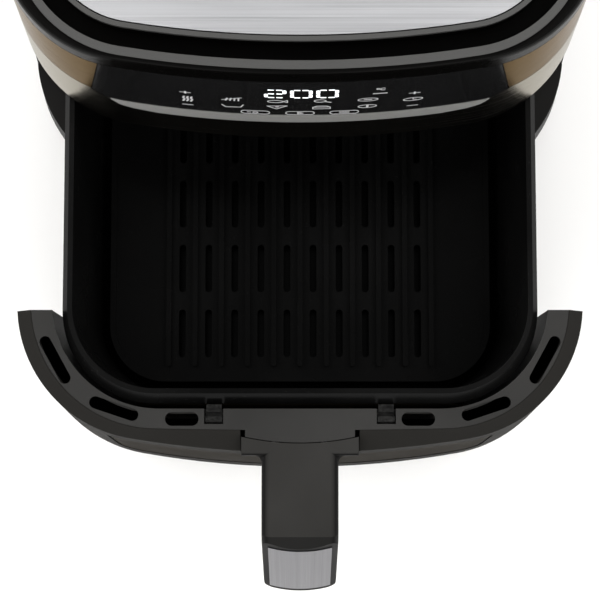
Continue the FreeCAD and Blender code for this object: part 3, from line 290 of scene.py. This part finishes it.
MATERIALS = {
    "dark_plastic": grained("dark_plastic", (0.004, 0.0039, 0.0037), (0.007, 0.0068, 0.0064), (0.4, 0.5), spec=0.1),
    "inner_plastic": grained("inner_plastic", (0.02, 0.02, 0.021), (0.03, 0.03, 0.031)),
    "band_steel": brushed("band_steel", (0.21, 0.2, 0.182), (0.27, 0.257, 0.235), (5, 5, 3600),
                          (0.18, 0.27), 0.14, 0.55, (0.8, 0.77, 0.7)),
    "band_bronze": brushed("band_bronze", (0.125, 0.102, 0.078), (0.165, 0.136, 0.105), (5, 5, 3600),
                           (0.18, 0.27), 0.14, 0.55, (0.5, 0.43, 0.35)),
    "panel_gloss": polished("panel_gloss", (0.006, 0.006, 0.0062), (0.014, 0.014, 0.014), (0.1, 0.17), 0.4),
    "strip_steel": painted("strip_steel", (0.195, 0.195, 0.19), (0.295, 0.295, 0.285), (0.34, 0.42), 0.25),
    "gloss_black": polished("gloss_black", (0.0012, 0.0011, 0.001), (0.004, 0.0038, 0.0036),
                            (0.22, 0.3), 0.025),
    # ring_grey: the bevelled rings round the top plate are a lighter grey than the gloss black shell; this grey is
    # a painted highlight for the light the bevels catch.
    "ring_grey": painted("ring_grey", (0.036, 0.036, 0.035), (0.054, 0.054, 0.053), (0.4, 0.5), 0.25),
    "plate_steel": brushed("plate_steel", (0.42, 0.425, 0.44), (0.53, 0.535, 0.555), (10, 3400, 16),
                           (0.36, 0.48), 0.12),
    "screw_steel": brushed("screw_steel", (0.3, 0.3, 0.3), (0.55, 0.55, 0.55), (900, 900, 900), (0.3, 0.5), 0.2),
    "black_rubber": grained("black_rubber", (0.01, 0.01, 0.01), (0.02, 0.02, 0.019), (0.7, 0.85), 0.6, 0.08),
    "chamber_steel": brushed("chamber_steel", (0.38, 0.38, 0.37), (0.55, 0.55, 0.54), (40, 40, 900),
                             (0.3, 0.48), 0.2),
    "heater_steel": brushed("heater_steel", (0.06, 0.05, 0.045), (0.2, 0.15, 0.11), (200, 200, 200),
                            (0.4, 0.6), 0.2),
    "guard_steel": brushed("guard_steel", (0.4, 0.4, 0.4), (0.7, 0.7, 0.7), (60, 60, 60), (0.15, 0.3), 0.1),
    "lens_glass": glassy("lens_glass", (0.9, 0.88, 0.8), 0.25),
    "insulation_wool": fibrous("insulation_wool", (0.45, 0.42, 0.33), (0.8, 0.77, 0.68)),
    "motor_metal": painted("motor_metal", (0.2, 0.2, 0.21), (0.32, 0.32, 0.33)),
    "fan_aluminium": brushed("fan_aluminium", (0.45, 0.45, 0.45), (0.65, 0.65, 0.65), (300, 300, 300)),
    "circuit_board": circuit("circuit_board"),
    "drawer_gloss": polished("drawer_gloss", (0.014, 0.0135, 0.0125), (0.020, 0.019, 0.0175),
                             (0.5, 0.58), 0.01),
    # drawer_matte and handle_matte carry painted shade: their upright faces are darker than their level ones.
    "drawer_matte": grained("drawer_matte", (0.0105, 0.0103, 0.0098), (0.016, 0.0157, 0.015), (0.4, 0.5),
                            spec=0.28, dust_and_upright_shade=0.35),
    "window_glass": glassy("window_glass", (0.03, 0.025, 0.018), 0.4, 0.62, 1.02),
    "pan_coating": coated("pan_coating", (0.0015, 0.0015, 0.0015), (0.004, 0.004, 0.004), (0.05, 0.05, 0.048)),
    "handle_matte": grained("handle_matte", (0.017, 0.0167, 0.0158), (0.024, 0.0235, 0.0225), (0.5, 0.6),
                            spec=0.06, dust_and_upright_shade=0.05),
    "insert_steel": brushed("insert_steel", (0.08, 0.08, 0.089), (0.115, 0.115, 0.126), (3400, 10, 10),
                            (0.25, 0.4), 0.14),
    "clip_steel": brushed("clip_steel", (0.012, 0.012, 0.012), (0.04, 0.04, 0.039), (700, 700, 700),
                          (0.3, 0.45), 0.15),
    "legend_white": painted("legend_white", (0.40, 0.40, 0.41), (0.52, 0.52, 0.53), (0.4, 0.5), 0.0),
    "digit_white": lit("digit_white", (0.93, 0.97, 1.0), 1.3),
}
for entry in frame["record"]["subparts"]:
    shown = nodes[entry["node"]]
    shown.data.materials.clear()
    shown.data.materials.append(MATERIALS[entry["material_slot"]])


# ---- pieces laid on the touch panel
def piece(name, mesh, body, material):
    made = bpy.data.objects.new(name, mesh)
    bpy.context.scene.collection.objects.link(made)
    made.data.materials.append(MATERIALS[material])
    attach(made, body)
    return made


# How far an inlay's underside and its top stand out from the panel, in mm.
INLAY_LOW, INLAY_HIGH = 0.02, 0.10


def inlay(name, outlines, material):
    """Thin raised shapes on the panel. Each outline is a list of (x, z) in mm."""
    made = bmesh.new()
    for outline in outlines:
        bottom = [made.verts.new(front_point(x, z, INLAY_LOW)) for x, z in outline]
        top = [made.verts.new(front_point(x, z, INLAY_HIGH)) for x, z in outline]
        made.faces.new(top)
        count = len(outline)
        for i in range(count):
            j = (i + 1) % count
            made.faces.new((bottom[i], bottom[j], top[j], top[i]))
        made.faces.new(bottom[::-1])
    bmesh.ops.recalc_face_normals(made, faces=made.faces)
    mesh = bpy.data.meshes.new(name)
    made.to_mesh(mesh)
    made.free()
    return piece(name, mesh, "housing", material)


# How far each span of a stroke runs past its ends, as a share of half its width.
END_LAP = 0.6


def stroke(points, width, closed=False):
    """Quads along a run of points, one for each span, a little longer than it so that corners close."""
    spans = list(zip(points, points[1:] + points[:1])) if closed else list(zip(points, points[1:]))
    quads = []
    for (ax, az), (bx, bz) in spans:
        length = math.hypot(bx - ax, bz - az)
        if length < 1e-6:
            continue
        ux, uz = (bx - ax) / length, (bz - az) / length
        h = width / 2
        lap = h * END_LAP
        ax, az, bx, bz = ax - ux * lap, az - uz * lap, bx + ux * lap, bz + uz * lap
        quads.append([(ax + uz * h, az - ux * h), (bx + uz * h, bz - ux * h),
                      (bx - uz * h, bz + ux * h), (ax - uz * h, az + ux * h)])
    return quads


def loop(cx, cz, rx, rz, start=0.0, stop=360.0, steps=20):
    """Points along an oval, from one angle to another, in degrees."""
    angles = [math.radians(start + (stop - start) * i / steps) for i in range(steps + 1)]
    return [(cx + rx * math.cos(a), cz + rz * math.sin(a)) for a in angles]


# The bars lit in each digit, by the usual seven-segment letters, and the bars' sizes in mm.
SEGMENTS = {"2": "abged", "0": "abcdef"}
UPRIGHT_HALF, LEVEL_HALF, BAR_GAP = 0.8, 0.45, 0.5
DIGITS_LEFT, DIGITS_LOW, DIGIT_PITCH, DIGIT_WIDE, DIGIT_HIGH = -15.0, 238.6, 11.5, 8.2, 11.8


def digit(char, left):
    """The lit bars of one digit: thick upright bars, and thin level ones that are split in the middle."""
    low, mid, top = DIGITS_LOW, DIGITS_LOW + DIGIT_HIGH / 2, DIGITS_LOW + DIGIT_HIGH
    right, centre = left + DIGIT_WIDE, left + DIGIT_WIDE / 2
    uprights = {"b": (right, mid, top), "c": (right, low, mid), "e": (left, low, mid), "f": (left, mid, top)}
    levels = {"a": top, "d": low, "g": mid}
    shapes = []
    for key in SEGMENTS[char]:
        if key in uprights:
            x, z0, z1 = uprights[key]
            z0, z1 = z0 + BAR_GAP, z1 - BAR_GAP
            near, far = x - UPRIGHT_HALF, x + UPRIGHT_HALF
            shapes.append([(near, z0 + 0.5), (x, z0), (far, z0 + 0.5), (far, z1 - 0.5), (x, z1), (near, z1 - 0.5)])
        else:
            z0, z1 = levels[key] - LEVEL_HALF, levels[key] + LEVEL_HALF
            for x0, x1 in ((left + 0.9, centre - BAR_GAP), (centre + BAR_GAP, right - 0.9)):
                shapes.append([(x0, z0), (x1, z0), (x1, z1), (x0, z1)])
    return shapes


digits = []
for index, char in enumerate("200"):
    digits += digit(char, DIGITS_LEFT + DIGIT_PITCH * index)
inlay("display_digits", digits, "digit_white")


def plus(x, z):
    return stroke([(x - 2.4, z), (x + 2.4, z)], 0.5) + stroke([(x, z - 1.6), (x, z + 1.6)], 0.8)


def minus(x, z):
    return stroke([(x - 2.4, z), (x + 2.4, z)], 0.5)


def oval(cx, cz, rx, rz, width=0.5):
    return stroke(loop(cx, cz, rx, rz), width)


# Every sign below is placed at its (x, z) on the panel, in mm.
legends = plus(-50.8, 238.2) + minus(-50.9, 218.0) + plus(50.8, 237.3) + minus(51.1, 216.5)
# temperature: three licks of heat
for i in range(3):
    x = -52.6 + 1.7 * i
    legends += stroke([(x, 224.0), (x + 0.9, 227.2), (x + 0.3, 229.4), (x + 0.9, 231.6)], 0.9)
# time: a clock face
legends += oval(50.7, 227.2, 4.3, 2.3) + stroke([(50.7, 228.8), (50.7, 227.0), (52.2, 226.4)], 0.5)
# the unit beside the digits, and a row of dots under it
legends += oval(34.2, 248.6, 0.6, 0.9, 0.5) + stroke(loop(36.4, 248.0, 1.1, 1.5, 50, 310), 0.5)
for i in range(5):
    legends += stroke([(32.4 + 1.3 * i, 241.4), (33.1 + 1.3 * i, 241.4)], 0.9)
# chips and, under them, a dish
for i in range(4):
    legends += stroke([(-33.2 + 1.9 * i, 230.8), (-32.4 + 1.7 * i, 234.6)], 0.7)
legends += stroke([(-34.9, 231.4), (-26.0, 236.0)], 0.5)
legends += stroke([(-35.2, 223.4), (-33.6, 219.8), (-26.8, 220.6), (-25.6, 224.6)], 0.6)
# a fish, and under it a pizza slice
legends += oval(-11.0, 232.2, 3.4, 1.9) + stroke([(-7.6, 232.4), (-5.6, 234.2), (-5.6, 230.8)], 0.5, True)
legends += stroke([(-14.8, 224.4), (-5.8, 225.2), (-10.6, 219.8)], 0.5, True) + oval(-10.3, 223.2, 0.6, 0.5)
# a leg of chicken, and under it a cake
legends += oval(9.0, 233.2, 2.6, 2.0) + stroke([(11.2, 232.0), (13.8, 230.6)], 0.8)
legends += stroke([(5.8, 220.0), (13.6, 220.0), (13.6, 222.8), (5.8, 222.8)], 0.5, True)
legends += stroke([(5.8, 222.8), (7.6, 224.6), (12.0, 224.6), (13.6, 222.8)], 0.5)
# a fan and a lamp
legends += oval(30.3, 232.4, 4.4, 2.4) + stroke([(28.6, 232.4), (32.0, 232.4)], 0.7)
legends += oval(30.4, 221.4, 4.1, 2.4) + stroke([(30.4, 220.2), (30.4, 222.6)], 1.1)
# three keys with round ends
for x in (-20.4, 0.0, 20.2):
    right = loop(x + 4.6, 213.0, 1.9, 2.6, -90, 90, 10)
    left = loop(x - 4.6, 213.0, 1.9, 2.6, 90, 270, 10)
    legends += stroke(right + left, 0.5, True)
legends += oval(-20.4, 213.0, 1.1, 1.1) + stroke([(-24.0, 213.0), (-22.6, 213.0)], 0.7)
legends += stroke([(-1.0, 211.6), (-1.0, 214.4), (1.4, 213.0)], 0.6, True)
legends += stroke([(18.0, 212.2), (22.4, 212.2)], 0.5) + stroke([(18.0, 214.0), (22.4, 214.0)], 0.5)
inlay("panel_legends", legends, "legend_white")


# ---- floor, light, camera
def area(name, place, aim, size, power, colour=(1, 1, 1)):
    data = bpy.data.lights.new(name, "AREA")
    data.shape = "RECTANGLE"
    data.size, data.size_y = size
    data.energy = power
    data.color = colour
    made = bpy.data.objects.new(name, data)
    made.location = place
    made.rotation_euler = (Vector(aim) - Vector(place)).to_track_quat("-Z", "Y").to_euler()
    bpy.context.scene.collection.objects.link(made)
    return made


floor_mesh = bpy.data.meshes.new("floor")
grid = bmesh.new()
bmesh.ops.create_grid(grid, x_segments=2, y_segments=2, size=6.0)
grid.to_mesh(floor_mesh)
grid.free()
floor = bpy.data.objects.new("floor", floor_mesh)
floor.location.z = -0.0005
bpy.context.scene.collection.objects.link(floor)
floor_mat, floor_tree, floor_bsdf = new_material("floor")
floor_tree.links.new(colour_mix(floor_tree, noise(floor_tree, 3.0), (0.90, 0.90, 0.90), (0.92, 0.92, 0.92)),
                     floor_bsdf.inputs["Base Color"])
floor_bsdf.inputs["Roughness"].default_value = 0.9
floor_bsdf.inputs["Specular IOR Level"].default_value = 0.2
floor.data.materials.append(floor_mat)

world = bpy.data.worlds.new("studio")
bpy.context.scene.world = world
world.use_nodes = True
world.node_tree.nodes["Background"].inputs["Color"].default_value = (1.0, 1.0, 1.0, 1.0)
world.node_tree.nodes["Background"].inputs["Strength"].default_value = 0.3

area("left_box", (-2.0, 0.1, 1.6), (0, 0.0, 0.1), (4.6, 3.4), 98, (1.0, 0.98, 0.95))
area("right_box", (2.0, 0.1, 1.6), (0, 0.0, 0.1), (4.6, 3.4), 90, (1.0, 0.98, 0.95))
area("front_box", (0.0, -2.3, 1.6), (0, -0.1, 0.1), (4.6, 3.4), 72)
area("back_box", (0.0, 2.4, 1.8), (0, 0.1, 0.1), (5.0, 3.6), 72)

camera = bpy.data.objects.new("camera", bpy.data.cameras.new("camera"))
camera.data.lens = 102.4
camera.data.sensor_width = 36.0
camera.data.clip_end = 20.0
camera.location = (0.0, -0.19744, 0.980)
camera.rotation_euler = (math.radians(5.7), 0.0, 0.0)
bpy.context.scene.collection.objects.link(camera)
bpy.context.scene.camera = camera
bpy.context.scene.view_settings.view_transform = "Standard"
